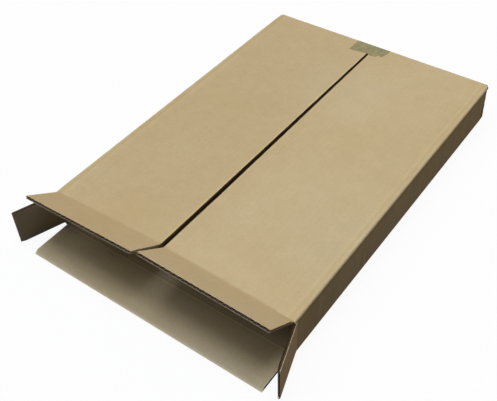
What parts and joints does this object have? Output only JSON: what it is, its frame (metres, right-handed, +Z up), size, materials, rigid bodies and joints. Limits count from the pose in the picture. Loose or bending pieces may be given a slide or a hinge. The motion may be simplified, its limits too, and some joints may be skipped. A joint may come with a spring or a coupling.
{
  "type": "shallow corrugated cardboard shipping box",
  "caption": "Shallow rectangular shipping box of corrugated kraft board: low walls, a top of long panels meeting at a slot, one end taped shut, the other open with hinged end flaps.",
  "frame": {"origin": "centre of the underside of the closed box, on the surface that it stands on", "axes": "+X across the box, +Y along it from the open end to the taped end, +Z up"},
  "size_m": [0.3593, 0.5087, 0.0858],
  "materials": {
    "kraft_board": "matt uncoated brown kraft liner",
    "packing_tape": "translucent tan film with a soft sheen"
  },
  "bodies": {
    "carton": {"carton": "kraft_board", "sealing_tape": "packing_tape"},
    "top_flap_left": {"top_flap_left": "kraft_board"},
    "top_flap_right": {"top_flap_right": "kraft_board"},
    "base_flap": {"base_flap": "kraft_board"},
    "side_flap_left": {"side_flap_left": "kraft_board"},
    "side_flap_right": {"side_flap_right": "kraft_board"}
  },
  "joints": [
    {"name": "top_left_crease", "type": "hinge", "parent": "carton", "child": "top_flap_left", "pos_m": [-0.158, -0.2275, 0.0512], "axis": [0.9991, 0, 0.042], "range_deg": [-67.5, 122.5]},
    {"name": "top_right_crease", "type": "hinge", "parent": "carton", "child": "top_flap_right", "pos_m": [0.158, -0.2275, 0.0512], "axis": [0.9996, 0, -0.0282], "range_deg": [-62.7, 127.3]},
    {"name": "base_crease", "type": "hinge", "parent": "carton", "child": "base_flap", "pos_m": [0, -0.232, 0.0018], "axis": [-1, 0, 0], "range_deg": [0, 90]},
    {"name": "side_left_crease", "type": "hinge", "parent": "carton", "child": "side_flap_left", "pos_m": [-0.1592, -0.223, 0.0265], "axis": [0, 0, 1], "range_deg": [-70.5, 109.5]},
    {"name": "side_right_crease", "type": "hinge", "parent": "carton", "child": "side_flap_right", "pos_m": [0.1592, -0.223, 0.0265], "axis": [0, 0, -1], "range_deg": [-72.5, 107.5]}
  ]
}
